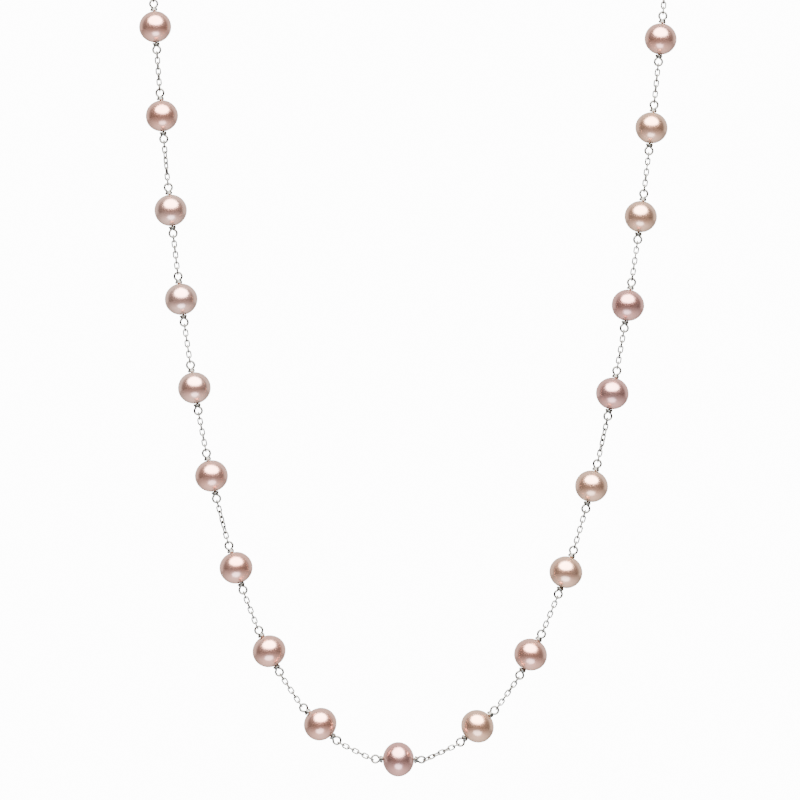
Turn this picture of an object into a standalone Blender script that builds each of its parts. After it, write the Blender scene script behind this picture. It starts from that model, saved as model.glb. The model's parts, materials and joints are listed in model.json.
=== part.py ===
"""Pearl station necklace, hung as it is worn.

Metres, +Z up, +X to the right, +Y towards the nape. The origin is in the middle of the neck,
level with the shoulders. The front of the necklace hangs in the plane y = 0 as a catenary.
Nineteen pearls each turn on their own wire, whose two wrapped loops take short runs of cable
chain. Two plain chains go back over the shoulders to a spring-ring clasp at the nape.
"""

import math

import bmesh
import bpy
from mathutils import Matrix, Vector

MM = 0.001
OUT = Vector((0, 1, 0))

# Driving dimensions in millimetres
STATIONS_PER_SIDE = 9
CATENARY = 17.7  # radius of the hanging curve at its lowest point
STEEPENING = 240.0  # arc length at which the slope is twice a catenary's
CURVE_STEP = 0.2
CURVE_COUNT = 1000
CURVE = []  # filled once by curve_point
LOWEST = -151.0  # height of the middle pearl's centre
BACK_DEPTH = 31.0  # from the front plane to the nape
BACK_RISE = 18.0  # from the shoulders to the nape
BACK_HANDLES = (20.0, 27.0)  # how long the back chain holds its direction at each end
BACK_DIP = 2.0
BACK_POINTS = 34

WIRE = 0.38
LINK_INNER = 1.02  # inside length of a link, which is also the chain's pitch
LINK_WIRE = 0.24
LINK_INNER_WIDTH = 0.56
LINKS_PER_RUN = 7
LONG_RUNS = ("left_4", "left_8", "right_5")  # these have one link more
RUN_CORE = 0.52  # thickness of a run between its end links
OPEN_RUN = "right_1"  # the closed loop is opened where this run meets the middle loop
FREE_END = 0.3 + WIRE / 2 + LINK_INNER_WIDTH / 2 + LINK_WIRE

LOOP_RADIUS = 0.71  # of the loop's wire centre line
COLLAR_LENGTH = 0.68
COLLAR_RADIUS = 0.56
# How far along the collar from the pearl, and how wide, each as a part of the collar's own size
COLLAR_SHAPE = ((0.12, 0.8), (0.22, 1.0), (0.47, 0.72), (0.7, 0.86), (1.0, 0.5))
COLLAR_GAP = 0.04  # between the pearl and the first wrap
WIRE_SIDES = 6
LOOP_SIDES = 12
STEM_RADIUS = 0.24
DRILL_RADIUS = 0.42
DRILL_SIDES = 8
PEARL_SIDES, PEARL_ROWS = 12, 8
PEARL_ALONG = 5.95  # a typical pearl's width along its wire
PEARL_ACROSS = 6.1
CENTRE_PEARL = (6.05, 6.55)
PEARL_GROWTH = 0.035  # each pearl nearer the middle is wider by this much
LENGTH_GROWTH = 0.014  # and this much longer along its wire

CLASP_RADIUS = 2.5  # of the ring tube's centre line
CLASP_TUBE = 0.56
CLASP_BORE = 0.36
BOLT_RADIUS = 0.27
GAP_FROM, GAP_TO = 98.0, 138.0  # where the ring opens, in degrees from +X towards +Z
SOCKET_TO = 152.0
BORE_FROM = 8.0
BOLT_FROM, BOLT_TO = 58.0, 142.0
BOLT_TRAVEL = 40.0
LEVER_AT = 82.0
LEVER_RADIUS = 0.22
LEVER_SIDES = 8
LEVER_HEIGHT = 1.25
SLOT_HALF = 0.34
SLOT_SPARE = 8.0  # degrees that the slot runs past the lever at each end
BORE_SPARE = 4.0  # degrees that the bores run out into the gap
EYE_RADIUS = 0.62
EYE_WIRE = 0.2
EYE_WELD = 0.1  # how deep the eye is set in the ring tube
EYE_AT = CLASP_RADIUS + CLASP_TUBE + EYE_RADIUS - EYE_WELD
RING_PLAY = 0.14
JUMP_RING_RADIUS = 1.3
JUMP_RING_WIRE = 0.25
SMALL_RING_RADIUS = 0.78
SMALL_RING_WIRE = 0.18

PEARL_COLOR = (0.62, 0.40, 0.36, 1)
METAL_COLOR = (0.80, 0.79, 0.77, 1)


def clear_scene():
    for thing in list(bpy.data.objects):
        bpy.data.objects.remove(thing, do_unlink=True)


def new_collection(name):
    group = bpy.data.collections.new(name)
    bpy.context.scene.collection.children.link(group)
    return group


def material(name, color, metallic, roughness):
    made = bpy.data.materials.get(name)
    if made:
        return made
    made = bpy.data.materials.new(name)
    made.use_nodes = True
    shader = made.node_tree.nodes["Principled BSDF"]
    shader.inputs["Base Color"].default_value = color
    shader.inputs["Metallic"].default_value = metallic
    shader.inputs["Roughness"].default_value = roughness
    return made


def pearl_material():
    return material("pearl_nacre", PEARL_COLOR, 0.0, 0.2)


def metal_material():
    return material("white_gold", METAL_COLOR, 1.0, 0.15)


def add_mesh(name, bm, group, look, place=None):
    """A mesh object in millimetres, scaled to metres, at the given place."""
    bmesh.ops.scale(bm, vec=(MM, MM, MM), verts=bm.verts)
    mesh = bpy.data.meshes.new(name)
    bm.to_mesh(mesh)
    bm.free()
    mesh.shade_smooth()
    mesh.set_sharp_from_angle(angle=math.radians(50))
    thing = bpy.data.objects.new(name, mesh)
    group.objects.link(thing)
    if look:
        mesh.materials.append(look)
    if place:
        thing.matrix_world = place
    return thing


def frame_at(centre, along):
    """Local X runs along the wire or chain and local Y points to the back."""
    x = along.normalized()
    z = x.cross(OUT)
    rows = Matrix((x, OUT, z)).transposed().to_4x4()
    return Matrix.Translation(centre * MM) @ rows


def tube(points, radius, closed=False, sides_res=2):
    """A POLY curve with a bevel, returned as a welded bmesh in millimetres."""
    curve = bpy.data.curves.new("wire", "CURVE")
    curve.dimensions = "3D"
    curve.bevel_depth = radius
    curve.bevel_resolution = sides_res
    curve.use_fill_caps = not closed
    spline = curve.splines.new("POLY")
    spline.points.add(len(points) - 1)
    for slot, point in zip(spline.points, points):
        slot.co = (*point, 1)
    spline.use_cyclic_u = closed
    thing = bpy.data.objects.new("wire", curve)
    bpy.context.scene.collection.objects.link(thing)
    bpy.context.view_layer.update()
    ready = thing.evaluated_get(bpy.context.evaluated_depsgraph_get())
    mesh = bpy.data.meshes.new_from_object(ready)
    bm = bmesh.new()
    bm.from_mesh(mesh)
    bmesh.ops.remove_doubles(bm, verts=bm.verts, dist=1e-4)
    bmesh.ops.recalc_face_normals(bm, faces=bm.faces)
    bpy.data.objects.remove(thing, do_unlink=True)
    bpy.data.curves.remove(curve)
    bpy.data.meshes.remove(mesh)
    return bm


def arc(radius, start_deg, end_deg, count):
    """Points round +Y, from +X towards +Z."""
    points = []
    for i in range(count + 1):
        turn = math.radians(start_deg + (end_deg - start_deg) * i / count)
        points.append(Vector((radius * math.cos(turn), 0, radius * math.sin(turn))))
    return points


def ring(radius, wire, count, flat=False):
    """A closed ring in the XZ plane, or in the XY plane when flat."""
    points = arc(radius, 0, 360, count)[:-1]
    if flat:
        points = [Vector((p.x, p.z, 0)) for p in points]
    return tube(points, wire, closed=True, sides_res=0)


def link_shape():
    """One cable link in the XY plane, long in X, centred."""
    half_width = (LINK_INNER_WIDTH + LINK_WIRE) / 2
    straight = (LINK_INNER - LINK_INNER_WIDTH) / 2
    points = []
    for side in (1, -1):
        for i in range(5):
            turn = math.radians(-90 + 45 * i)
            x = side * (straight + half_width * math.cos(turn))
            points.append(Vector((x, side * half_width * math.sin(turn), 0)))
    return tube(points, LINK_WIRE / 2, closed=True, sides_res=0)


def turned(profile, sides):
    """A bmesh turned round local X from (x, radius) points whose first and last lie on X."""
    bm = bmesh.new()
    rows = []
    for x, radius in profile:
        if radius == 0:
            rows.append([bm.verts.new((x, 0, 0))])
            continue
        spots = [math.tau * i / sides for i in range(sides)]
        rows.append([bm.verts.new((x, radius * math.cos(s), radius * math.sin(s))) for s in spots])
    for one, two in zip(rows, rows[1:]):
        for i in range(sides):
            k = (i + 1) % sides
            corners = [one[i % len(one)], two[i % len(two)], two[k % len(two)], one[k % len(one)]]
            unique = list(dict.fromkeys(corners))
            bm.faces.new(unique)
    bmesh.ops.recalc_face_normals(bm, faces=bm.faces)
    return bm


def moved(bm, offset):
    bmesh.ops.translate(bm, vec=offset, verts=bm.verts)
    return bm


def turned_by(bm, matrix):
    bmesh.ops.transform(bm, matrix=matrix, verts=bm.verts)
    return bm


def as_cutter(bm, cutters):
    thing = add_mesh("cutter", bm, cutters, None)
    thing.hide_render = True
    thing.display_type = "WIRE"
    return thing


def join(thing, pieces, cutters, operation="UNION"):
    """Adds a Boolean modifier for each piece, which is given in the object's own millimetres."""
    for bm in pieces:
        helper = as_cutter(bm, cutters)
        helper.matrix_world = thing.matrix_world
        step = thing.modifiers.new(operation.lower(), "BOOLEAN")
        step.operation = operation
        step.object = helper
        step.solver = "EXACT"


def hanging_curve():
    """Points every CURVE_STEP along the right half of the front, from its lowest point up.

    The slope is a catenary's, arc length over radius, and it steepens a little towards the
    shoulders, where the neck draws the two sides in.
    """
    x, z = 0.0, LOWEST
    points = [Vector((x, 0, z))]
    for i in range(CURVE_COUNT):
        s = (i + 0.5) * CURVE_STEP
        lean = math.atan(s / CATENARY * (1 + (s / STEEPENING) ** 2))
        x += CURVE_STEP * math.cos(lean)
        z += CURVE_STEP * math.sin(lean)
        points.append(Vector((x, 0, z)))
    return points


def curve_point(s):
    """The point at arc length s from the lowest point."""
    if not CURVE:
        CURVE.extend(hanging_curve())
    i = int(s / CURVE_STEP)
    return CURVE[i].lerp(CURVE[i + 1], s / CURVE_STEP - i)


def arc_after(start, distance):
    """The arc length whose point is the given straight distance beyond start."""
    low, high = start, start + 2 * distance
    here = curve_point(start)
    for _ in range(60):
        middle = (low + high) / 2
        if (curve_point(middle) - here).length < distance:
            low = middle
        else:
            high = middle
    return high


def pearl_size(number):
    """Width along the wire and across it: the pearls grow slightly towards the middle."""
    if number == 0:
        return CENTRE_PEARL
    nearer = STATIONS_PER_SIDE - number
    return PEARL_ALONG + LENGTH_GROWTH * nearer, PEARL_ACROSS + PEARL_GROWTH * nearer


def station_half(number):
    """From the pearl's centre to the centre line at the far end of a loop."""
    return pearl_size(number)[0] / 2 + COLLAR_LENGTH + 2 * LOOP_RADIUS


def run_length(label):
    links = LINKS_PER_RUN + (1 if label in LONG_RUNS else 0)
    return links * LINK_INNER - WIRE


def side_layout(side):
    """Ends of every station and run on one side, from the middle outwards."""
    sign = -1 if side == "left" else 1
    layout = []
    at = arc_after(0, station_half(0))
    for number in range(1, STATIONS_PER_SIDE + 1):
        run_end = arc_after(at, run_length(f"{side}_{number}"))
        station_end = arc_after(run_end, 2 * station_half(number))
        ends = [curve_point(s) for s in (at, run_end, station_end)]
        layout.append([Vector((sign * p.x, 0, p.z)) for p in ends])
        at = station_end
    return layout


def make_pearl(name, number, place, parts, cutters):
    along, across = pearl_size(number)
    bm = bmesh.new()
    bmesh.ops.create_uvsphere(bm, u_segments=PEARL_SIDES, v_segments=PEARL_ROWS, radius=0.5)
    turned_by(bm, Matrix.Rotation(math.pi / 2, 4, "Y"))
    bmesh.ops.scale(bm, vec=(along, across, across), verts=bm.verts)
    pearl = add_mesh(name, bm, parts, pearl_material(), place)
    drill = [(-along, 0), (-along, DRILL_RADIUS), (along, DRILL_RADIUS), (along, 0)]
    join(pearl, [turned(drill, DRILL_SIDES)], cutters, "DIFFERENCE")
    return pearl


def make_station_wire(name, number, place, parts, cutters):
    """Stem through the pearl, two wrapped collars and a loop at each end."""
    reach = pearl_size(number)[0] / 2
    outer = reach + COLLAR_LENGTH
    half = [(reach + COLLAR_GAP, STEM_RADIUS)]
    half += [(reach + COLLAR_LENGTH * x, COLLAR_RADIUS * r) for x, r in COLLAR_SHAPE]
    half.append((outer + WIRE / 2, 0))
    profile = [(-x, r) for x, r in reversed(half)] + half
    wire = add_mesh(name, turned(profile, WIRE_SIDES), parts, metal_material(), place)
    for sign in (-1, 1):
        loop = ring(LOOP_RADIUS, WIRE / 2, LOOP_SIDES)
        centre = Vector((sign * (outer + LOOP_RADIUS), 0, 0))
        join(wire, [moved(loop, centre)], cutters)
    return wire


def make_run(name, start, end, parts, cutters, free=0.0):
    """A short chain from a lower loop to an upper one: a slim core between two end links.

    The end links pass through the loops, except that a run with a free length stops that far
    short of the lower loop.
    """
    length = (end - start).length
    place = frame_at((start + end) / 2, end - start)
    radius = LINK_INNER_WIDTH / 2
    first = -length / 2 + LINK_INNER / 2 - radius + free
    last = length / 2 - LINK_INNER / 2 + radius
    overlap = (LINK_INNER + LINK_WIRE) / 2
    near = first + overlap
    far = last - overlap
    core = [(near, 0), (near, RUN_CORE / 2), (far, RUN_CORE / 2), (far, 0)]
    run = add_mesh(name, turned(core, WIRE_SIDES), parts, metal_material(), place)
    for x in (first, last):
        join(run, [moved(link_shape(), Vector((x, 0, 0)))], cutters)
    return run


def back_route(side, start, heading):
    """A smooth route from the shoulder round to the clasp, as points in millimetres."""
    sign = -1 if side == "left" else 1
    if side == "left":
        hooked_at = CLASP_RADIUS - CLASP_TUBE - JUMP_RING_WIRE - RING_PLAY
        finish_x = hooked_at + 2 * JUMP_RING_RADIUS
    else:
        finish_x = EYE_AT + 2 * SMALL_RING_RADIUS
    finish = Vector((sign * finish_x, BACK_DEPTH, BACK_RISE))
    before_clasp = finish + Vector((sign * BACK_HANDLES[1], 0, -BACK_DIP))
    handles = (start, start + heading * BACK_HANDLES[0], before_clasp, finish)
    points = []
    for i in range(BACK_POINTS + 1):
        t = i / BACK_POINTS
        weights = ((1 - t) ** 3, 3 * t * (1 - t) ** 2, 3 * t * t * (1 - t), t**3)
        points.append(sum((h * w for h, w in zip(handles, weights)), Vector()))
    return points


def make_back_chain(side, start, heading, parts, cutters):
    """The plain chain over one shoulder, with its first link and its end ring."""
    radius = LINK_INNER_WIDTH / 2
    link_centre = start + heading * (LINK_INNER / 2 - radius)
    core_start = start + heading * (LINK_INNER + LINK_WIRE / 2 - radius)
    points = back_route(side, core_start, heading)
    name = f"back_chain_{side}"
    chain = add_mesh(name, tube(points, RUN_CORE / 2, sides_res=1), parts, metal_material())
    turn = frame_at(link_centre, heading)
    turn.translation = link_centre
    join(chain, [turned_by(link_shape(), turn)], cutters)
    sign = -1 if side == "left" else 1
    size, wire = (
        (JUMP_RING_RADIUS, JUMP_RING_WIRE) if side == "left" else (SMALL_RING_RADIUS, SMALL_RING_WIRE)
    )
    end = points[-1] - Vector((sign * size, 0, 0))
    join(chain, [moved(ring(size, wire, LOOP_SIDES, flat=True), end)], cutters)
    return chain


def make_clasp(parts, cutters):
    """A spring-ring clasp: an open ring tube, and a curved bolt with a thumb lever."""
    place = Matrix.Translation(Vector((0, BACK_DEPTH, BACK_RISE)) * MM)
    round_ring = arc(CLASP_RADIUS, GAP_TO - 360, GAP_FROM, 26)
    body = add_mesh("clasp_ring", tube(round_ring, CLASP_TUBE, sides_res=2), parts, metal_material(), place)
    eye = moved(ring(EYE_RADIUS, EYE_WIRE, LOOP_SIDES), Vector((EYE_AT, 0, 0)))
    join(body, [eye], cutters)
    bore = tube(arc(CLASP_RADIUS, BORE_FROM, GAP_FROM + BORE_SPARE, 10), CLASP_BORE, sides_res=2)
    socket = tube(arc(CLASP_RADIUS, GAP_TO - BORE_SPARE, SOCKET_TO, 4), CLASP_BORE, sides_res=2)
    slot_from = LEVER_AT - BOLT_TRAVEL - SLOT_SPARE
    slot_line = arc(CLASP_RADIUS + CLASP_TUBE, slot_from, LEVER_AT + SLOT_SPARE, 7)
    slot = tube(slot_line, SLOT_HALF, sides_res=1)
    join(body, [bore, socket, slot], cutters, "DIFFERENCE")

    bolt_line = arc(CLASP_RADIUS, BOLT_FROM, BOLT_TO, 10)
    bolt_tube = tube(bolt_line, BOLT_RADIUS, sides_res=2)
    bolt = add_mesh("clasp_trigger", bolt_tube, parts, metal_material(), place)
    lever = [(0, 0), (0, LEVER_RADIUS), (LEVER_HEIGHT, LEVER_RADIUS), (LEVER_HEIGHT, 0)]
    turn = Matrix.Rotation(-math.radians(LEVER_AT), 4, "Y")
    stand = Matrix.Translation(turn @ Vector((CLASP_RADIUS, 0, 0))) @ turn
    join(bolt, [turned_by(turned(lever, LEVER_SIDES), stand)], cutters)
    return body, bolt


def main():
    clear_scene()
    parts = new_collection("pearl_necklace")
    cutters = new_collection("cutters")

    middle = frame_at(Vector((0, 0, LOWEST)), Vector((1, 0, 0)))
    sag = curve_point(arc_after(0, station_half(0))).z
    middle.translation.z = sag * MM
    make_pearl("pearl_centre", 0, middle, parts, cutters)
    make_station_wire("wire_centre", 0, middle, parts, cutters)
    for side in ("left", "right"):
        layout = side_layout(side)
        for number, (run_start, run_end, station_end) in enumerate(layout, 1):
            label = f"{side}_{number}"
            place = frame_at((run_end + station_end) / 2, station_end - run_end)
            make_pearl(f"pearl_{label}", number, place, parts, cutters)
            make_station_wire(f"wire_{label}", number, place, parts, cutters)
            free = FREE_END if label == OPEN_RUN else 0.0
            make_run(f"run_{label}", run_start, run_end, parts, cutters, free)
        top = layout[-1]
        heading = (top[2] - top[1]).normalized()
        make_back_chain(side, top[2], heading, parts, cutters)
    make_clasp(parts, cutters)


main()
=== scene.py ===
# Looks for the pearl station necklace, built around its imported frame
import json
import math
import random

import bmesh
import bpy
from mathutils import Matrix, Vector, noise

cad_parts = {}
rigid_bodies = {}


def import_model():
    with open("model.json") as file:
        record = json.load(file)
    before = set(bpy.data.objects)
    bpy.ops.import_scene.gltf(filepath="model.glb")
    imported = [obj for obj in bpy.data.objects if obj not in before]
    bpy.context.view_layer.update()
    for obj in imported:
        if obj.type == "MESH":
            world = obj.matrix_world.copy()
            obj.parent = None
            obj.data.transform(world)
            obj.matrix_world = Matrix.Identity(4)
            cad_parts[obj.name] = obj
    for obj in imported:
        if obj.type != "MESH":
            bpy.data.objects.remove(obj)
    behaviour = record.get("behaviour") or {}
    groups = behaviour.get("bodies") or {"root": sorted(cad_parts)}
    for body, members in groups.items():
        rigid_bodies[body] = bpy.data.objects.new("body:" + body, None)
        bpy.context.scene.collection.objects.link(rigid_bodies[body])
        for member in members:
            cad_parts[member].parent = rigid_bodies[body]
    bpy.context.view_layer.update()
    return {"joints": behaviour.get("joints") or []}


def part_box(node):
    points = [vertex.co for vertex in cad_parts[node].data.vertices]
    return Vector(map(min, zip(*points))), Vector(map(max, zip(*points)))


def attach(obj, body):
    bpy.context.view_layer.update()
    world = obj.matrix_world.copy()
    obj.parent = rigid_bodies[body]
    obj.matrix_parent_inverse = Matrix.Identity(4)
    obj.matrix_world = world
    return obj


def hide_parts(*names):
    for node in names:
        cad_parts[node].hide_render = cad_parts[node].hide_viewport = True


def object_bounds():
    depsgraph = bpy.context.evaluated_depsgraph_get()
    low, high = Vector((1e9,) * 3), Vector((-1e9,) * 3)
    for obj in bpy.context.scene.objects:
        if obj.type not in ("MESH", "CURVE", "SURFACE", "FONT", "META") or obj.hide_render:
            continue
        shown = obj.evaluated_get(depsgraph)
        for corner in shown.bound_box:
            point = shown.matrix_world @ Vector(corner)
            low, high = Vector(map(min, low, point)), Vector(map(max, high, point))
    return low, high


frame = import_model()

mm = 0.001
toBack = Vector((0, 1, 0))
stationsPerSide = 9
sides = ("left", "right")
joints = {joint["name"]: joint for joint in frame["joints"]}
rootBody = joints["clasp_trigger_pull"]["parent"]


def pivot(jointName):
    return Vector(joints[jointName]["pos_m"])


def boxCentre(node):
    low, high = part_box(node)
    return (low + high) / 2


def stationEnds(label):  # both loops' far ends, the upper or left one first
    if label == "centre":
        leftEnd = pivot("hang_centre_station")
        return leftEnd, 2 * boxCentre("pearl_centre") - leftEnd
    return pivot(f"hang_{label}_station"), pivot(f"hang_{label}_run")


def runEnds(side, number):  # lower end first
    if number > 1:
        lower = pivot(f"hang_{side}_{number - 1}_station")
    else:
        lower = stationEnds("centre")[sides.index(side)]
    return lower, pivot(f"hang_{side}_{number}_run")


def placeAt(centre, along, roll=0.0):  # local X along the wire, local Y to the back
    x = along.normalized()
    z = x.cross(toBack).normalized()
    turn = Matrix((x, z.cross(x), z)).transposed().to_4x4()
    return Matrix.Translation(centre) @ turn @ Matrix.Rotation(roll, 4, "X")


# mesh helpers, all in millimetres until finished
roundedEnd = {"length": 0.55, "size": 0.6}  # of a wire's tip, as shares of its radius


def roundSpots(count):
    return [math.tau * i / count for i in range(count)]


def bridgeRows(bm, rows, closedPath=False):
    pairs = list(zip(rows, rows[1:]))
    if closedPath:
        pairs.append((rows[-1], rows[0]))
    for one, two in pairs:
        for i in range(len(one)):
            k = (i + 1) % len(one)
            bm.faces.new((one[i], one[k], two[k], two[i]))


def sweepTube(bm, path, radius, ringCount=10, closedPath=False):
    count = len(path)
    tangents = []
    for i, point in enumerate(path):
        before = path[i - 1] if i or closedPath else point
        after = path[(i + 1) % count] if i < count - 1 or closedPath else point
        tangents.append((after - before).normalized())
    normal = tangents[0].orthogonal().normalized()
    rows = []
    stops = list(zip(path, tangents, [radius] * count))
    if not closedPath:  # a rounded end on each side
        nose, tipSize = radius * roundedEnd["length"], radius * roundedEnd["size"]
        stops.insert(0, (path[0] - tangents[0] * nose, tangents[0], tipSize))
        stops.append((path[-1] + tangents[-1] * nose, tangents[-1], tipSize))
    for point, tangent, size in stops:
        normal = (normal - tangent * normal.dot(tangent)).normalized()
        side = tangent.cross(normal)
        rows.append([
            bm.verts.new(point + (normal * math.cos(a) + side * math.sin(a)) * size)
            for a in roundSpots(ringCount)
        ])
    bridgeRows(bm, rows, closedPath)
    if not closedPath:
        bm.faces.new(list(reversed(rows[0])))
        bm.faces.new(rows[-1])


def latheRows(bm, profile, ringCount):  # (x, radius) points turned round local X
    return [
        [bm.verts.new((x, r * math.cos(a), r * math.sin(a))) for a in roundSpots(ringCount)]
        for x, r in profile
    ]


def finishMesh(name, bm, place, materialUsed, smoothAngle=60):
    bmesh.ops.recalc_face_normals(bm, faces=bm.faces)
    bmesh.ops.scale(bm, vec=(mm, mm, mm), verts=bm.verts)
    mesh = bpy.data.meshes.new(name)
    bm.to_mesh(mesh)
    bm.free()
    mesh.shade_smooth()
    mesh.set_sharp_from_angle(angle=math.radians(smoothAngle))
    mesh.materials.append(materialUsed)
    thing = bpy.data.objects.new(name, mesh)
    bpy.context.scene.collection.objects.link(thing)
    thing.matrix_world = place
    return thing


def settle(piece, body, node):
    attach(piece, body)
    if node:
        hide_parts(node)


# shader node groups, and helpers that fill them
def newGroup(name, inputs, outputs):
    group = bpy.data.node_groups.new(name, "ShaderNodeTree")
    for socketName, kind, value in inputs:
        socket = group.interface.new_socket(socketName, in_out="INPUT", socket_type=kind)
        socket.default_value = value
    for socketName, kind in outputs:
        group.interface.new_socket(socketName, in_out="OUTPUT", socket_type=kind)
    entry = group.nodes.new("NodeGroupInput")
    leave = group.nodes.new("NodeGroupOutput")
    return group, entry, leave


def addNode(tree, kind, inputs=(), **settings):  # inputs are pairs of a socket's name and its value
    node = tree.nodes.new(kind)
    for key, value in settings.items():
        setattr(node, key, value)
    for socketName, value in inputs:
        node.inputs[socketName].default_value = value
    return node


def feed(tree, socket, value):  # a socket takes a link or a plain value
    if isinstance(value, bpy.types.NodeSocket):
        tree.links.new(value, socket)
    else:
        socket.default_value = value


def mixColors(tree, factor, first, second):
    node = addNode(tree, "ShaderNodeMix", data_type="RGBA")
    for index, value in ((0, factor), (6, first), (7, second)):
        feed(tree, node.inputs[index], value)
    return node.outputs[2]


def addRamp(tree, value, edges, results, kind="SMOOTHSTEP"):
    node = addNode(tree, "ShaderNodeMapRange", interpolation_type=kind)
    names = ("Value", "From Min", "From Max", "To Min", "To Max")
    for name, given in zip(names, (value, *edges, *results)):
        feed(tree, node.inputs[name], given)
    return node.outputs[0]


nacrePattern = {
    "cloudScale": 260.0,
    "cloudRoughness": 0.45,
    "cloudEdges": (0.4, 0.66),
    "cloudMost": 0.8,
    "ringScale": 210.0,
    "ringDistortion": 3.0,
    "ringMost": 0.16,
    "rippleScale": 700.0,
}


def makeNacreTint():  # patches of overtone and faint growth rings round the drill axis
    group, entry, leave = newGroup(
        "nacreTint",
        (("Body", "NodeSocketColor", (0.6, 0.4, 0.35, 1)),
         ("Overtone", "NodeSocketColor", (0.6, 0.5, 0.4, 1)),
         ("Shade", "NodeSocketColor", (0.4, 0.25, 0.25, 1)),
         ("Seed", "NodeSocketFloat", 0.0)),
        (("Color", "NodeSocketColor"), ("Ripple", "NodeSocketFloat")),
    )
    link = group.links.new
    where = addNode(group, "ShaderNodeTexCoord")
    shift = addNode(group, "ShaderNodeCombineXYZ")
    link(entry.outputs["Seed"], shift.inputs["X"])
    moved = addNode(group, "ShaderNodeVectorMath", operation="ADD")
    link(where.outputs["Object"], moved.inputs[0])
    link(shift.outputs[0], moved.inputs[1])
    cloudLook = (
        ("Scale", nacrePattern["cloudScale"]),
        ("Detail", 2.0),
        ("Roughness", nacrePattern["cloudRoughness"]),
    )
    cloud = addNode(group, "ShaderNodeTexNoise", cloudLook)
    link(moved.outputs[0], cloud.inputs["Vector"])
    edges, most = nacrePattern["cloudEdges"], nacrePattern["cloudMost"]
    patch = addRamp(group, cloud.outputs["Fac"], edges, (0.0, most))
    tinted = mixColors(group, patch, entry.outputs["Body"], entry.outputs["Overtone"])
    ringLook = (
        ("Scale", nacrePattern["ringScale"]),
        ("Distortion", nacrePattern["ringDistortion"]),
        ("Detail", 1.0),
    )
    rings = addNode(group, "ShaderNodeTexWave", ringLook, bands_direction="X")
    link(moved.outputs[0], rings.inputs["Vector"])
    ringPart = addNode(group, "ShaderNodeMath", operation="MULTIPLY")
    ringPart.inputs[1].default_value = nacrePattern["ringMost"]
    link(rings.outputs["Fac"], ringPart.inputs[0])
    link(mixColors(group, ringPart.outputs[0], tinted, entry.outputs["Shade"]), leave.inputs["Color"])
    rippleLook = (("Scale", nacrePattern["rippleScale"]), ("Detail", 1.0))
    ripple = addNode(group, "ShaderNodeTexNoise", rippleLook)
    link(moved.outputs[0], ripple.inputs["Vector"])
    link(ripple.outputs["Fac"], leave.inputs["Ripple"])
    return group


metalPattern = {
    "stainScale": 900.0,
    "stainEdges": (0.5, 0.75),
    "stainMost": 0.6,
    "rubScale": 3200.0,
    "rubEdges": (0.3, 0.7),
    "dents": 0.05,
    "dentDepth": 0.00002,  # metres
}


def makeMetalWear():  # fine rubbing and dents, and a little tarnish
    group, entry, leave = newGroup(
        "metalWear",
        (("Bright", "NodeSocketColor", (0.8, 0.8, 0.8, 1)),
         ("Tarnish", "NodeSocketColor", (0.4, 0.38, 0.34, 1)),
         ("Smooth", "NodeSocketFloat", 0.12),
         ("Rough", "NodeSocketFloat", 0.3)),
        (("Color", "NodeSocketColor"), ("Roughness", "NodeSocketFloat"), ("Height", "NodeSocketFloat")),
    )
    link = group.links.new
    where = addNode(group, "ShaderNodeTexCoord")
    stainLook = (("Scale", metalPattern["stainScale"]), ("Detail", 4.0), ("Roughness", 0.6))
    stain = addNode(group, "ShaderNodeTexNoise", stainLook)
    link(where.outputs["Object"], stain.inputs["Vector"])
    edges, most = metalPattern["stainEdges"], metalPattern["stainMost"]
    amount = addRamp(group, stain.outputs["Fac"], edges, (0.0, most))
    stained = mixColors(group, amount, entry.outputs["Bright"], entry.outputs["Tarnish"])
    link(stained, leave.inputs["Color"])
    rub = addNode(group, "ShaderNodeTexNoise", (("Scale", metalPattern["rubScale"]), ("Detail", 3.0)))
    link(where.outputs["Object"], rub.inputs["Vector"])
    finishes = (entry.outputs["Smooth"], entry.outputs["Rough"])
    rubbed = addRamp(group, rub.outputs["Fac"], metalPattern["rubEdges"], finishes, "LINEAR")
    link(rubbed, leave.inputs["Roughness"])
    link(rub.outputs["Fac"], leave.inputs["Height"])
    return group


nacreTint = makeNacreTint()
metalWear = makeMetalWear()


# pearls
pearl = {
    "collarLength": 0.68,  # millimetres, and so on below
    "loopRadius": 0.71,
    "drillRadius": 0.4,
    "mouthFlare": 0.16,
    "lip": ((0.05, 0.05), (0.14, 0.0)),  # depth into the hole, and width past the drill radius
    "boreRow": 0.3,  # share of the way out at which the bore has a row
    "ringCount": 56,
    "rowCount": 30,
    "lumps": 0.012,  # share of the radius
    "lumpScale": 0.35,
    "lumpFrom": 0.6,  # the bore, inside this share of the radius, keeps its shape
    "lumpStep": 3.7,  # each pearl reads the noise elsewhere
    "tintStep": 0.013,
    "roughness": 0.26,
    "metallic": 0.97,
    "coat": 0.6,
    "coatIor": 1.6,
    "coatRoughness": 0.22,
    "edgeTint": (1, 0.76, 0.68, 1),
    # painted sheen: how far towards the rim the pearl's colour turns paler, and how much paler
    "paintedSheenBlend": 0.46,
    "paintedSheenLift": 1.42,
    "ripple": 0.015,
    "rippleDepth": 0.0001,  # metres
}
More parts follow.
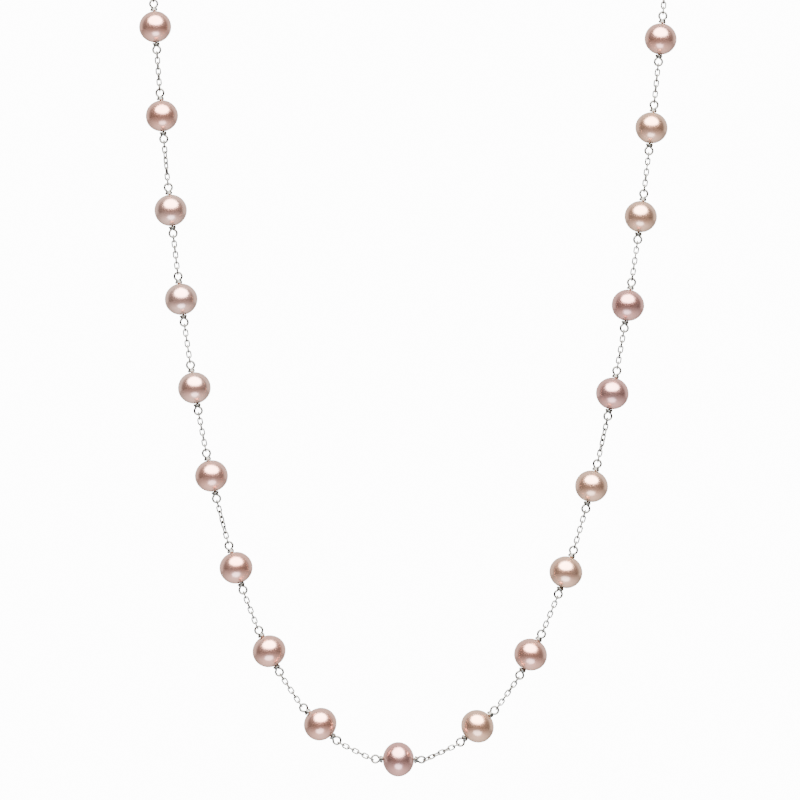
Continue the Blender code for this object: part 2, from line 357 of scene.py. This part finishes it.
# body, overtone and shade of each tint
nacreTints = {
    "rose": ((0.84, 0.375, 0.275, 1), (0.92, 0.46, 0.37, 1), (0.70, 0.26, 0.17, 1)),
    "peach": ((0.90, 0.46, 0.30, 1), (0.96, 0.52, 0.375, 1), (0.76, 0.33, 0.18, 1)),
    "mauve": ((0.68, 0.31, 0.26, 1), (0.74, 0.40, 0.36, 1), (0.52, 0.20, 0.165, 1)),
    "blush": ((0.86, 0.43, 0.335, 1), (0.92, 0.53, 0.44, 1), (0.74, 0.31, 0.22, 1)),
}
pearlTints = {
    "left": ("rose", "rose", "rose", "rose", "blush", "blush", "blush", "rose", "rose"),
    "right": ("peach", "rose", "peach", "peach", "mauve", "mauve", "peach", "peach", "rose"),
    "centre": "mauve",
}


def makeNacre(tintName, seed):
    body, overtone, shade = nacreTints[tintName]
    material = bpy.data.materials.new(f"nacre_{tintName}_{seed}")
    material.use_nodes = True
    tree = material.node_tree
    link = tree.links.new
    shader = tree.nodes["Principled BSDF"]
    tint = addNode(tree, "ShaderNodeGroup", node_tree=nacreTint)
    tint.inputs["Body"].default_value = body
    tint.inputs["Overtone"].default_value = overtone
    tint.inputs["Shade"].default_value = shade
    tint.inputs["Seed"].default_value = seed * pearl["tintStep"]
    # painted sheen: the base colour is mixed towards a paler copy of the overtone near the rim,
    # standing in for the backdrop's light reflected there
    sheenMask = addNode(tree, "ShaderNodeLayerWeight", (("Blend", pearl["paintedSheenBlend"]),))
    paintedSheenColor = tuple(min(1, c * pearl["paintedSheenLift"]) for c in overtone[:3]) + (1,)
    tintWithPaintedSheen = mixColors(tree, sheenMask.outputs["Facing"], tint.outputs["Color"], paintedSheenColor)
    link(tintWithPaintedSheen, shader.inputs["Base Color"])
    bumpLook = (("Strength", pearl["ripple"]), ("Distance", pearl["rippleDepth"]))
    bump = addNode(tree, "ShaderNodeBump", bumpLook)
    link(tint.outputs["Ripple"], bump.inputs["Height"])
    link(bump.outputs[0], shader.inputs["Normal"])
    shader.inputs["Roughness"].default_value = pearl["roughness"]
    shader.inputs["Metallic"].default_value = pearl["metallic"]
    shader.inputs["Coat Weight"].default_value = pearl["coat"]
    shader.inputs["Coat Roughness"].default_value = pearl["coatRoughness"]
    shader.inputs["Coat IOR"].default_value = pearl["coatIor"]
    shader.inputs["Specular Tint"].default_value = pearl["edgeTint"]
    return material


def pearlReach(label):  # from a pearl's middle to its drill mouth
    upper, lower = stationEnds(label)
    return (lower - upper).length / mm / 2 - pearl["collarLength"] - 2 * pearl["loopRadius"]


def makePearl(label, tintName, seed):
    upper, lower = stationEnds(label)
    low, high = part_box(f"pearl_{label}")
    along = pearlReach(label)
    across = (high.y - low.y) / mm / 2
    hole = pearl["drillRadius"]
    start = math.asin((hole + pearl["mouthFlare"]) / across)
    profile = []
    for i in range(pearl["rowCount"] + 1):
        turn = start + (math.pi - 2 * start) * i / pearl["rowCount"]
        profile.append((-along * math.cos(turn), across * math.sin(turn)))
    edge = profile[-1][0]
    lip = [(edge - depth, hole + width) for depth, width in pearl["lip"]]
    lip.append((edge * pearl["boreRow"], hole))
    profile = profile + lip + [(-x, r) for x, r in reversed(lip)]
    bm = bmesh.new()
    bridgeRows(bm, latheRows(bm, profile, pearl["ringCount"]), closedPath=True)
    for vert in bm.verts:
        if vert.co.length > across * pearl["lumpFrom"]:
            lump = noise.noise(vert.co * pearl["lumpScale"] + Vector((seed * pearl["lumpStep"], 0, 0)))
            vert.co *= 1 + pearl["lumps"] * lump
    place = placeAt((upper + lower) / 2, lower - upper)
    piece = finishMesh(f"pearl_nacre_{label}", bm, place, makeNacre(tintName, seed))
    settle(piece, f"pearl_{label}", f"pearl_{label}")


# white metal: bright and tarnished colours, smooth and rough finishes
metals = {
    "wire_silver": ((0.21, 0.20, 0.175, 1), (0.12, 0.107, 0.086, 1), 0.2, 0.34),
    "chain_silver": ((0.21, 0.20, 0.175, 1), (0.12, 0.107, 0.086, 1), 0.22, 0.38),
    "clasp_silver": ((0.36, 0.35, 0.32, 1), (0.2, 0.18, 0.15, 1), 0.06, 0.16),
}


def makeMetal(name):
    bright, tarnish, smooth, rough = metals[name]
    material = bpy.data.materials.new(name)
    material.use_nodes = True
    tree = material.node_tree
    link = tree.links.new
    shader = tree.nodes["Principled BSDF"]
    wear = addNode(tree, "ShaderNodeGroup", node_tree=metalWear)
    wear.inputs["Bright"].default_value = bright
    wear.inputs["Tarnish"].default_value = tarnish
    wear.inputs["Smooth"].default_value = smooth
    wear.inputs["Rough"].default_value = rough
    link(wear.outputs["Color"], shader.inputs["Base Color"])
    link(wear.outputs["Roughness"], shader.inputs["Roughness"])
    bumpLook = (("Strength", metalPattern["dents"]), ("Distance", metalPattern["dentDepth"]))
    bump = addNode(tree, "ShaderNodeBump", bumpLook)
    link(wear.outputs["Height"], bump.inputs["Height"])
    link(bump.outputs[0], shader.inputs["Normal"])
    shader.inputs["Metallic"].default_value = 1.0
    return material


wireMetal = makeMetal("wire_silver")
chainMetal = makeMetal("chain_silver")
claspMetal = makeMetal("clasp_silver")


# wrapped wires
wire = {
    "thickness": 0.41,
    "ringCount": 9,
    "innerPoint": 0.6,  # share of the way from the pearl's middle to its drill mouth
    "neck": 0.2,  # straight wire left before the loop begins
    "loopOpening": 34,  # degrees on each side of the neck
    "loopPoints": 26,
    "wraps": 2.4,
    "wrapPoints": 13,  # for each turn
    "wrapRadius": (0.36, 0.6),  # next to the loop, next to the pearl
    "wrapFlare": 1.6,  # how late the wraps widen
    "wrapStart": 0.08,  # gap under the loop
    "wrapSpare": 0.24,  # collar length that the wraps leave free
    "rollRange": 8,  # degrees that a loop is turned about the wire
    "centreRolls": (32, 6),
}
loopRolls = {}  # of each station's lower (or right) and upper (or left) loop


def halfWirePath(reach, roll):  # from the pearl's middle out, round the loop and back to the pearl
    collarEnd = reach + pearl["collarLength"]
    radius = pearl["loopRadius"]
    centre = collarEnd + radius
    turnLoop = Matrix.Rotation(roll, 3, "X")
    path = [Vector((x, 0, 0)) for x in (0, reach * wire["innerPoint"], reach, collarEnd - wire["neck"])]
    opening = math.radians(wire["loopOpening"])
    for i in range(wire["loopPoints"] + 1):
        turn = opening + (math.tau - 2 * opening) * i / wire["loopPoints"]
        path.append(turnLoop @ Vector((centre - radius * math.cos(turn), 0, radius * math.sin(turn))))
    nearLoop, nearPearl = wire["wrapRadius"]
    steps = int(wire["wraps"] * wire["wrapPoints"])
    for i in range(steps + 1):
        t = i / steps
        angle = roll - math.pi / 2 - math.tau * wire["wraps"] * t
        out = nearLoop + (nearPearl - nearLoop) * t ** wire["wrapFlare"]
        x = collarEnd - wire["wrapStart"] - (pearl["collarLength"] - wire["wrapSpare"]) * t
        path.append(Vector((x, -out * math.cos(angle), out * math.sin(angle))))
    return path


def smoothPath(path, pieces=2):  # Catmull-Rom between the points
    result = []
    for i in range(len(path) - 1):
        a, b, c, d = path[max(i - 1, 0)], path[i], path[i + 1], path[min(i + 2, len(path) - 1)]
        for k in range(pieces):
            t = k / pieces
            curve = b * 2 + (c - a) * t + (a * 2 - b * 5 + c * 4 - d) * t**2
            curve += (b * 3 - a - c * 3 + d) * t**3
            result.append(curve / 2)
    return result + [path[-1]]


def makeStationWire(label, draw):
    upper, lower = stationEnds(label)
    reach = pearlReach(label)
    if label == "centre":
        rolls = [math.radians(roll) for roll in wire["centreRolls"]]
    else:
        rolls = [math.radians(draw.uniform(-wire["rollRange"], wire["rollRange"])) for _ in range(2)]
    loopRolls[label] = rolls
    lowerHalf = halfWirePath(reach, rolls[0])
    upperHalf = [Vector((-p.x, -p.y, p.z)) for p in halfWirePath(reach, rolls[1])]
    path = list(reversed(upperHalf)) + lowerHalf[1:]
    bm = bmesh.new()
    sweepTube(bm, smoothPath(path), wire["thickness"] / 2, wire["ringCount"])
    place = placeAt((upper + lower) / 2, lower - upper)
    piece = finishMesh(f"wrapped_wire_{label}", bm, place, wireMetal)
    settle(piece, f"station_{label}", f"wire_{label}")


# cable chain
chain = {
    "linkInner": 1.02,
    "innerWidth": 0.5,
    "thickness": 0.3,
    "arcPoints": 9,  # on each end of a link
    "ringCount": 8,
    "wobble": 9,  # degrees
    "swayRange": 26,  # degrees that the back chains turn to and fro
    "swayStep": 0.31,  # radians of that sway from link to link
}


def linkPath(inner):  # one link in the XY plane, long in X
    radius = (chain["innerWidth"] + chain["thickness"]) / 2
    straight = (inner - chain["innerWidth"]) / 2
    path = []
    for end in (1, -1):
        for i in range(chain["arcPoints"]):
            turn = math.pi * (i / (chain["arcPoints"] - 1) - 0.5)
            x, y = straight + radius * math.cos(turn), radius * math.sin(turn)
            path.append(Vector((end * x, end * y, 0)))
        path.append(Vector((0, end * radius, 0)))
    return path


def addLinks(bm, places, inner):
    path = linkPath(inner)
    half = chain["thickness"] / 2
    for place in places:
        sweepTube(bm, [place @ point for point in path], half, chain["ringCount"], closedPath=True)


def linkRoll(index, count, base, draw):  # each link is turned a quarter from the one before
    wobble = draw.uniform(-chain["wobble"], chain["wobble"])
    if index in (0, count - 1):  # the end links sit square on their loops
        wobble = 0
    return base + math.radians(90 * (index % 2) + wobble)


def makeRun(side, number, draw):
    label = f"{side}_{number}"
    lower, upper = runEnds(side, number)
    length = (upper - lower).length / mm + wire["thickness"]
    count = round(length / chain["linkInner"])
    inner = length / count
    below = loopRolls["centre" if number == 1 else f"{side}_{number - 1}"]
    first = below[0] if label == "right_1" else below[1]
    last = -loopRolls[label][0]
    if count % 2 == 0:  # an even run turns a quarter more to meet both loops
        last += math.pi / 2 if last < first else -math.pi / 2
    places = []
    for i in range(count):
        x = (i - (count - 1) / 2) * inner
        roll = linkRoll(i, count, first + (last - first) * i / (count - 1), draw)
        places.append(Matrix.Translation((x, 0, 0)) @ Matrix.Rotation(roll, 4, "X"))
    bm = bmesh.new()
    addLinks(bm, places, inner)
    place = placeAt((upper + lower) / 2, upper - lower)
    piece = finishMesh(f"chain_run_{label}", bm, place, chainMetal)
    settle(piece, f"run_{label}", f"run_{label}")


# plain back chains, on the route of their CAD solids
back = {
    "handles": (20.0, 27.0),  # of the curve, at the top pearl and at the clasp
    "dip": 2.0,
    "samples": 400,
}
# spring-ring clasp, with places round its tube in degrees
clasp = {
    "radius": 2.5,
    "tube": 0.56,
    "tubePoints": 90,
    "tubeSides": 20,
    "bore": 0.36,
    "bolt": 0.26,
    "gap": (98.0, 138.0),
    "socketEnd": 152.0,
    "boreStart": 8.0,
    "boreSpare": 6,  # degrees that each bore runs out into the gap
    "boltArc": (58.0, 142.0),
    "travel": 40.0,
    "slotHalf": 0.32,
    "slotSpare": 8,
    "creaseAngle": 35,
    "leverAt": 82.0,
    "leverRadius": 0.2,
    "leverHeight": 1.25,
    "leverSides": 14,
    "leverTip": 0.25,  # the stem stops this far below the lever's height
    "ribs": (0.42, 0.27, 0.12),  # three for the thumbnail, measured down from the tip
    "ribEnds": (0.04, 0.02),
    "ribProud": 0.07,
    "eyeRadius": 0.62,
    "eyeWire": 0.2,
    "eyeAt": 3.58,
    "eyePoints": 32,
    "jumpRing": (1.3, 0.25),  # radius and half thickness
    "smallRing": (0.78, 0.18),
    "ringPoints": 48,
    "ringSides": 12,
    "play": 0.14,
    "seam": 7,  # degrees left open where a jump ring was cut
    "seamAt": 60,
}
claspCentre = pivot("clasp_trigger_pull") / mm


def ringReach(side):  # how far from the middle the chain's end ring reaches
    if side == "right":
        return clasp["eyeAt"] + 2 * clasp["smallRing"][0]
    radius, half = clasp["jumpRing"]
    return clasp["radius"] - clasp["tube"] - half - clasp["play"] + 2 * radius


def backRoute(side):
    upper, lower = stationEnds(f"{side}_{stationsPerSide}")
    heading = (upper - lower).normalized()
    sign = -1 if side == "left" else 1
    start = upper / mm - heading * wire["thickness"] / 2
    finish = claspCentre + Vector((sign * ringReach(side), 0, 0))
    beforeClasp = finish + Vector((sign * back["handles"][1], 0, -back["dip"]))
    handles = (start, start + heading * back["handles"][0], beforeClasp, finish)
    route = []
    for i in range(back["samples"] + 1):
        t = i / back["samples"]
        weights = ((1 - t) ** 3, 3 * t * (1 - t) ** 2, 3 * t * t * (1 - t), t**3)
        route.append(sum((h * w for h, w in zip(handles, weights)), Vector()))
    return route


def alongRoute(route, distance):
    for one, two in zip(route, route[1:]):
        step = (two - one).length
        if distance <= step:
            return one.lerp(two, distance / step)
        distance -= step
    return route[-1]


def makeBackChain(side, draw):
    route = backRoute(side)
    ringHalf = clasp["jumpRing" if side == "left" else "smallRing"][1]
    total = sum((b - a).length for a, b in zip(route, route[1:])) + ringHalf
    count = round(total / chain["linkInner"])
    inner = total / count
    topRoll = loopRolls[f"{side}_{stationsPerSide}"][1]
    places = []
    for i in range(count):
        here = alongRoute(route, i * inner)
        after = alongRoute(route, (i + 1) * inner)
        sway = math.radians(chain["swayRange"]) * math.sin(i * chain["swayStep"])
        roll = linkRoll(i, count, topRoll / (1 + i) + sway, draw)
        places.append(placeAt((here + after) / 2, after - here, roll))
    bm = bmesh.new()
    addLinks(bm, places, inner)
    piece = finishMesh(f"back_chain_links_{side}", bm, Matrix.Identity(4), chainMetal)
    settle(piece, rootBody, f"back_chain_{side}")


def ringPath(radius, fromDeg, toDeg, count, flat=False):
    path = []
    for i in range(count + 1):
        turn = math.radians(fromDeg + (toDeg - fromDeg) * i / count)
        u, v = radius * math.cos(turn), radius * math.sin(turn)
        path.append(Vector((u, v, 0)) if flat else Vector((u, 0, v)))
    return path


def makeJumpRing(side, sizes):
    radius, half = sizes
    sign = -1 if side == "left" else 1
    centre = Vector((sign * (ringReach(side) - radius), 0, 0))
    turnFrom = clasp["seamAt"] + clasp["seam"] / 2
    turnTo = turnFrom + 360 - clasp["seam"]
    path = [p + centre for p in ringPath(radius, turnFrom, turnTo, clasp["ringPoints"], flat=True)]
    bm = bmesh.new()
    sweepTube(bm, path, half, clasp["ringSides"])
    piece = finishMesh(f"jump_ring_{side}", bm, Matrix.Translation(claspCentre * mm), claspMetal)
    settle(piece, rootBody, None)


def cutWith(piece, bm, place):
    cutter = finishMesh("cutter", bm, place, claspMetal)
    step = piece.modifiers.new("cut", "BOOLEAN")
    step.operation = "DIFFERENCE"
    step.solver = "EXACT"
    step.object = cutter
    bpy.context.view_layer.update()
    ready = piece.evaluated_get(bpy.context.evaluated_depsgraph_get())
    mesh = bpy.data.meshes.new_from_object(ready)
    piece.modifiers.remove(step)
    piece.data = mesh
    bpy.data.objects.remove(cutter, do_unlink=True)


def arcTube(radius, fromDeg, toDeg, half, count, ringCount=16):
    bm = bmesh.new()
    sweepTube(bm, ringPath(radius, fromDeg, toDeg, count), half, ringCount)
    return bm


def makeClasp():
    place = Matrix.Translation(claspCentre * mm)
    radius, tube, bore = clasp["radius"], clasp["tube"], clasp["bore"]
    gapFrom, gapTo = clasp["gap"]
    tubeMesh = arcTube(radius, gapTo - 360, gapFrom, tube, clasp["tubePoints"], clasp["tubeSides"])
    body = finishMesh("clasp_tube", tubeMesh, place, claspMetal)
    cutWith(body, arcTube(radius, clasp["boreStart"], gapFrom + clasp["boreSpare"], bore, 30), place)
    cutWith(body, arcTube(radius, gapTo - clasp["boreSpare"], clasp["socketEnd"], bore, 8), place)
    slotFrom = clasp["leverAt"] - clasp["travel"] - clasp["slotSpare"]
    slotTo = clasp["leverAt"] + clasp["slotSpare"]
    cutWith(body, arcTube(radius + tube, slotFrom, slotTo, clasp["slotHalf"], 20), place)
    body.data.set_sharp_from_angle(angle=math.radians(clasp["creaseAngle"]))
    settle(body, rootBody, "clasp_ring")
    bm = bmesh.new()
    centre = Vector((clasp["eyeAt"], 0, 0))
    path = [p + centre for p in ringPath(clasp["eyeRadius"], 0, 360, clasp["eyePoints"])[:-1]]
    sweepTube(bm, path, clasp["eyeWire"], clasp["ringSides"], closedPath=True)
    eye = finishMesh("clasp_eye", bm, place, claspMetal)
    settle(eye, rootBody, None)
    makeTrigger(place)


def makeTrigger(place):
    bm = arcTube(clasp["radius"], *clasp["boltArc"], clasp["bolt"], 30)
    turn = math.radians(clasp["leverAt"])
    outward = Vector((math.cos(turn), 0, math.sin(turn)))
    foot, tip = clasp["radius"], clasp["radius"] + clasp["leverHeight"]
    lever, sidesOfLever = clasp["leverRadius"], clasp["leverSides"]
    sweepTube(bm, [outward * foot, outward * (tip - clasp["leverTip"])], lever, sidesOfLever)
    under, over = clasp["ribEnds"]
    for drop in clasp["ribs"]:
        rib = [outward * (tip - drop - under), outward * (tip - drop + over)]
        sweepTube(bm, rib, lever + clasp["ribProud"], sidesOfLever)
    bolt = finishMesh("clasp_bolt", bm, place, claspMetal)
    settle(bolt, "clasp_trigger", "clasp_trigger")


# the studio, in metres
studio = {
    "viewHeight": 0.1514,
    "aboveMiddlePearl": 0.068,
    "toTheRight": 0.0003,
    "roll": -0.765,  # degrees
    "distance": 1.3,
    "sensor": 36,  # millimetres
    "farthest": 20,
    "floorDrop": 1.7,
    "floorReach": 7,
    "floorColor": (0.86, 0.86, 0.86, 1),
    "backdropEdge": (0.0, 0.4),  # how far behind the necklace the white backdrop begins
    "roomGlow": 0.15,
    "backdropGlow": 0.98,
    "backdropSeen": 13.5,  # burns the backdrop out to white
    "roomSeen": 3.2,  # the rest of the room is a pale grey
    "floorSeen": 3.15,
}
lights = {
    "top_softbox": {
        "elevation": 52, "distance": 1.1, "size": (1.95, 1.5),
        "power": 115, "color": (1, 1, 1),
    },
    "low_card": {
        "elevation": -54, "distance": 0.42, "size": (0.36, 0.26),
        "power": 1.3, "color": (0.62, 0.80, 1.0),
    },
}


def makeCamera():
    data = bpy.data.cameras.new("camera")
    data.sensor_fit = "HORIZONTAL"
    data.sensor_width = studio["sensor"]
    data.lens = studio["sensor"] * studio["distance"] / studio["viewHeight"]
    data.clip_end = studio["farthest"]
    camera = bpy.data.objects.new("camera", data)
    bpy.context.scene.collection.objects.link(camera)
    aim = boxCentre("pearl_centre")
    spin = Matrix.Rotation(math.radians(studio["roll"]), 4, "Y")
    offset = spin @ Vector((studio["toTheRight"], 0, studio["aboveMiddlePearl"]))
    eye = aim + offset + Vector((0, -studio["distance"], 0))
    camera.matrix_world = Matrix.Translation(eye) @ spin @ Matrix.Rotation(math.pi / 2, 4, "X")
    bpy.context.scene.camera = camera
    return aim + offset


def makeLight(name, centre):
    light = lights[name]
    data = bpy.data.lights.new(name, "AREA")
    data.shape = "ELLIPSE"
    data.size, data.size_y = light["size"]
    data.energy = light["power"]
    data.color = light["color"]
    lamp = bpy.data.objects.new(name, data)
    bpy.context.scene.collection.objects.link(lamp)
    rise = math.radians(light["elevation"])
    away = Vector((0, -math.cos(rise), math.sin(rise)))
    turn = away.to_track_quat("Z", "Y").to_matrix().to_4x4()
    lamp.matrix_world = Matrix.Translation(centre + away * light["distance"]) @ turn
    lamp.visible_camera = False


def makeWorld():
    world = bpy.data.worlds.new("studio")
    bpy.context.scene.world = world
    world.use_nodes = True
    tree = world.node_tree
    link = tree.links.new
    shade = tree.nodes["Background"]
    where = addNode(tree, "ShaderNodeTexCoord")
    split = addNode(tree, "ShaderNodeSeparateXYZ")
    link(where.outputs["Generated"], split.inputs[0])
    behind, edge = split.outputs["Y"], studio["backdropEdge"]
    glow = addRamp(tree, behind, edge, (studio["roomGlow"], studio["backdropGlow"]))
    wall = addRamp(tree, behind, edge, (studio["roomSeen"], studio["backdropSeen"]))
    path = addNode(tree, "ShaderNodeLightPath")
    seen = addNode(tree, "ShaderNodeMath", operation="MULTIPLY")
    link(path.outputs["Is Camera Ray"], seen.inputs[0])
    link(wall, seen.inputs[1])
    brighter = addNode(tree, "ShaderNodeMath", operation="MAXIMUM")
    link(glow, brighter.inputs[0])
    link(seen.outputs[0], brighter.inputs[1])
    link(brighter.outputs[0], shade.inputs["Strength"])
    shade.inputs["Color"].default_value = (1, 1, 1, 1)


def makeFloor():
    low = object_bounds()[0]
    bm = bmesh.new()
    bmesh.ops.create_grid(bm, x_segments=1, y_segments=1, size=studio["floorReach"] / mm)
    material = bpy.data.materials.new("pale_floor")
    material.use_nodes = True
    tree = material.node_tree
    shader = tree.nodes["Principled BSDF"]
    shader.inputs["Base Color"].default_value = studio["floorColor"]
    shader.inputs["Roughness"].default_value = 0.7
    shader.inputs["Emission Color"].default_value = (1, 1, 1, 1)
    path = addNode(tree, "ShaderNodeLightPath")
    seen = addNode(tree, "ShaderNodeMath", operation="MULTIPLY")
    seen.inputs[1].default_value = studio["floorSeen"]
    tree.links.new(path.outputs["Is Camera Ray"], seen.inputs[0])
    tree.links.new(seen.outputs[0], shader.inputs["Emission Strength"])
    place = Matrix.Translation((0, 0, low[2] - studio["floorDrop"]))
    finishMesh("floor", bm, place, material)


aim = makeCamera()
for name in lights:
    makeLight(name, aim)
makeWorld()
makeFloor()
print("camera, lights and floor set")

draw = random.Random(11)
labels = ["centre"] + [f"{side}_{n}" for side in sides for n in range(1, stationsPerSide + 1)]
for seed, label in enumerate(labels):
    if label == "centre":
        tintName = pearlTints["centre"]
    else:
        side, number = label.split("_")
        tintName = pearlTints[side][int(number) - 1]
    makePearl(label, tintName, seed)
    makeStationWire(label, draw)
print("pearls and wires:", len(labels))
for side in sides:
    for number in range(1, stationsPerSide + 1):
        makeRun(side, number, draw)
    makeBackChain(side, draw)
print("chains made")
makeJumpRing("left", clasp["jumpRing"])
makeJumpRing("right", clasp["smallRing"])
makeClasp()
print("clasp made")
